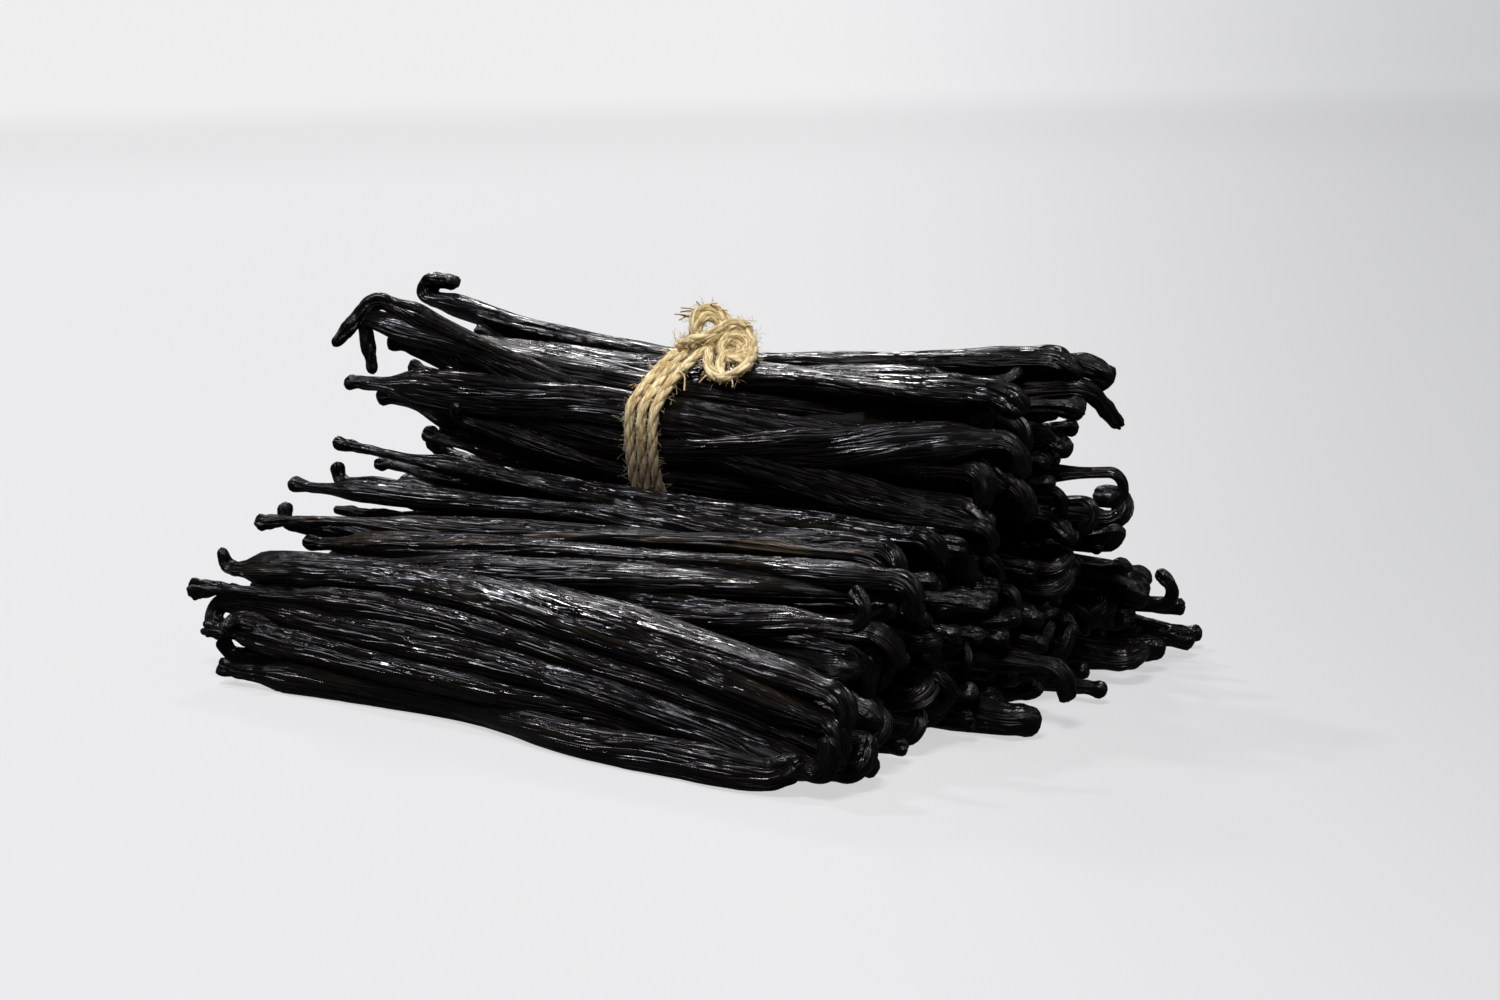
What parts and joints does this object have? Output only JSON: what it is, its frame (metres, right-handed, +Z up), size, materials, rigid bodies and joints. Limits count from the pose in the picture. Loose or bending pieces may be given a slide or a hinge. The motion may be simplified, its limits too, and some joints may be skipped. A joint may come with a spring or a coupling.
{
  "type": "bundle of vanilla pods",
  "caption": "Cured vanilla pods heaped side by side, with a twine-tied bundle of pods lying on top; hooked, folded and knobbed tips show at both ends.",
  "frame": {"origin": "on the surface that the heap rests on, under the place where the twine goes round the bundle", "axes": "+X along the pods, towards their folded ends; +Y to the back of the heap; +Z up"},
  "size_m": [0.1926, 0.1551, 0.0866],
  "materials": {
    "pods": "oily, wrinkled lengthwise, near black with a dark brown cast",
    "bundle_pods": "oily, wrinkled lengthwise, near black",
    "twine": "rough plied jute with loose fibres"
  },
  "bodies": {
    "root": {"loose_pods": "pods", "tied_pods": "bundle_pods", "twine": "twine"}
  },
  "joints": []
}
